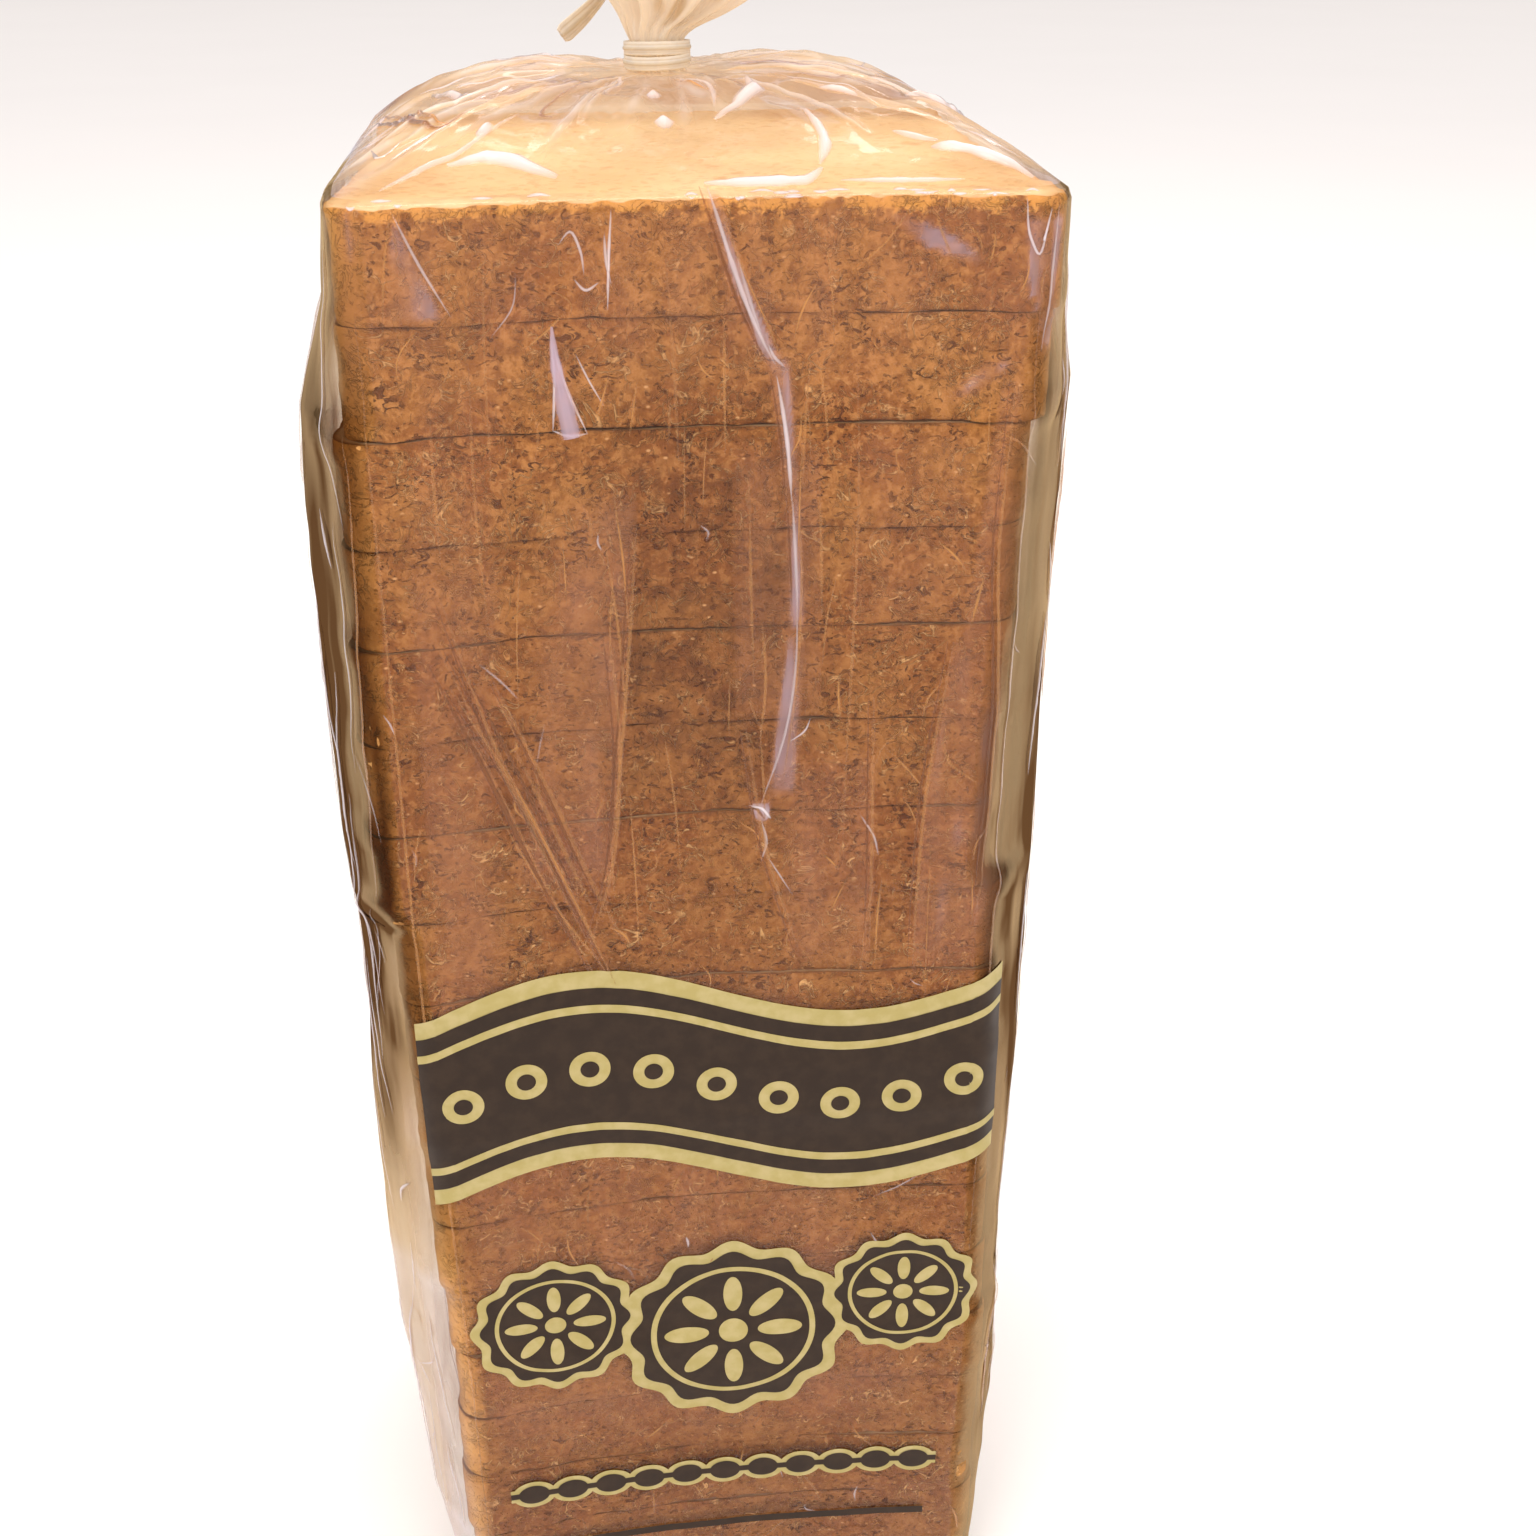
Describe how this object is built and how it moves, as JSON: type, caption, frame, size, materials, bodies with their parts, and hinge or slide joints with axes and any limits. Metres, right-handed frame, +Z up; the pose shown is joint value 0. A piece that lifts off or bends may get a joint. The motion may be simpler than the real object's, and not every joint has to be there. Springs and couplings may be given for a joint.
{
  "type": "sliced loaf in clear bag",
  "caption": "Tall sliced sandwich loaf standing on end in a clear film bag, its pleated neck held by a twist tie below an open, ruffled tail of film.",
  "frame": {"origin": "middle of the loaf's flat base, on the surface it stands on", "axes": "+Z up along the stack of slices to the bag's neck, -Y towards the printed front, +X to the right as seen from the front"},
  "size_m": [0.1174, 0.1017, 0.3525],
  "materials": {
    "bread_in_film": "browned bread crust under clear glossy film",
    "tie_strip": "satin cream plastic strip with a wire inside"
  },
  "bodies": {
    "root": {"bagged_loaf": "bread_in_film", "twist_tie": "tie_strip"}
  },
  "joints": []
}
